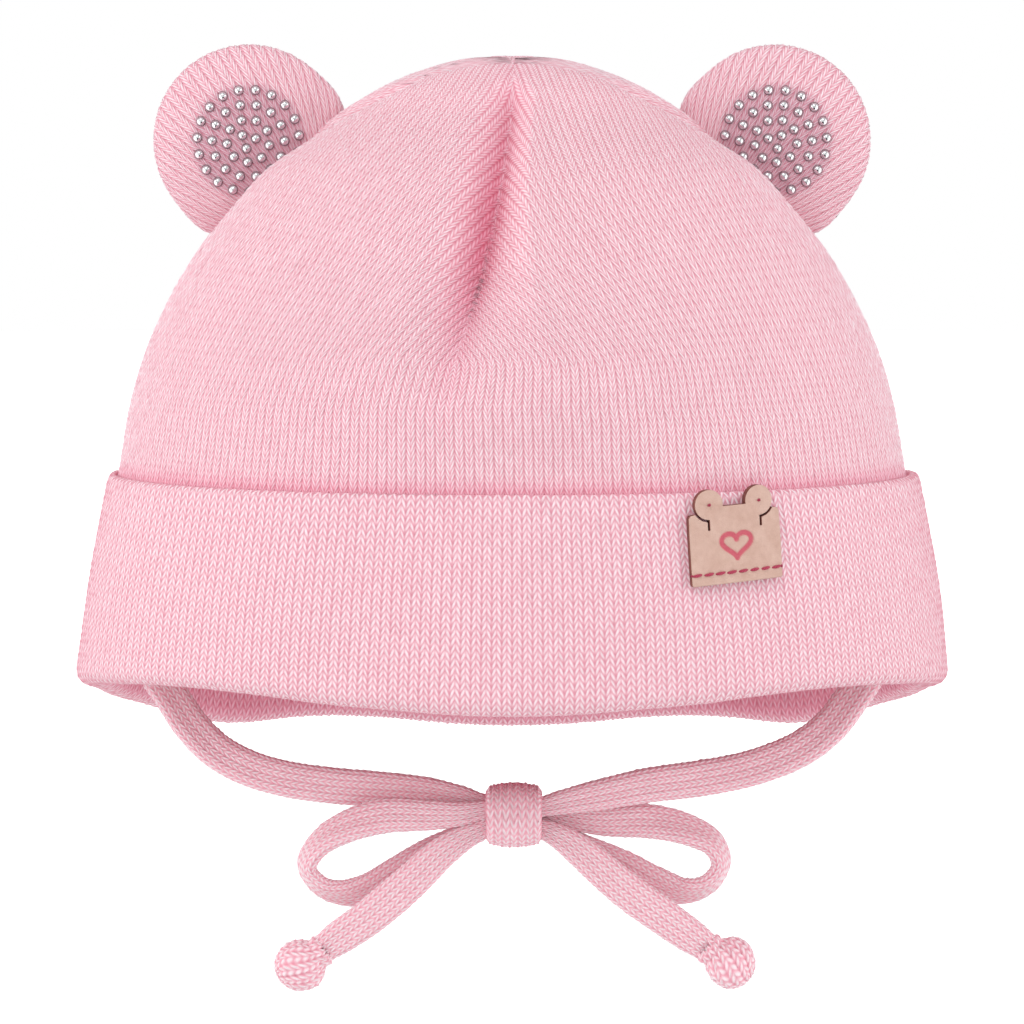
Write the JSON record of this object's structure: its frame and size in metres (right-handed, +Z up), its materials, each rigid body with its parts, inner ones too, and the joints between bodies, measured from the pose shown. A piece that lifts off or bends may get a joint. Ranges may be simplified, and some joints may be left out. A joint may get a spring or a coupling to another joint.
{
  "type": "baby beanie hat with ears",
  "caption": "Knitted baby beanie with a turned-up cuff, round padded ears with stud fields, a small tag and long chin ties in a bow.",
  "frame": {"origin": "middle of the head opening, level with the cuff's lower edge at the hat's two sides, on the hat's centre line", "axes": "+X to the viewer's right across the hat, -Y towards the front that the picture shows, +Z up to the crown's top"},
  "size_m": [0.1838, 0.1286, 0.1958],
  "materials": {
    "crown_knit": "fine plain knit in light pink cotton, matt",
    "cuff_knit": "fine plain knit, upside down on the turned-up cuff, matt",
    "tie_knit": "tube-knitted ribbon with rolled edges, matt",
    "stud_metal": "small polished metal domes",
    "tag_leather": "thin natural leather, fine grain, cut edge slightly darker"
  },
  "bodies": {
    "root": {"crown": "crown_knit", "brim": "cuff_knit", "ear_left": "crown_knit", "ear_right": "crown_knit", "stud_field_left": "stud_metal", "stud_field_right": "stud_metal", "label_tag": "tag_leather", "chin_tie_left": "tie_knit", "chin_tie_right": "tie_knit", "bow_knot": "tie_knit", "tie_ball_left": "tie_knit", "tie_ball_right": "tie_knit"}
  },
  "joints": []
}
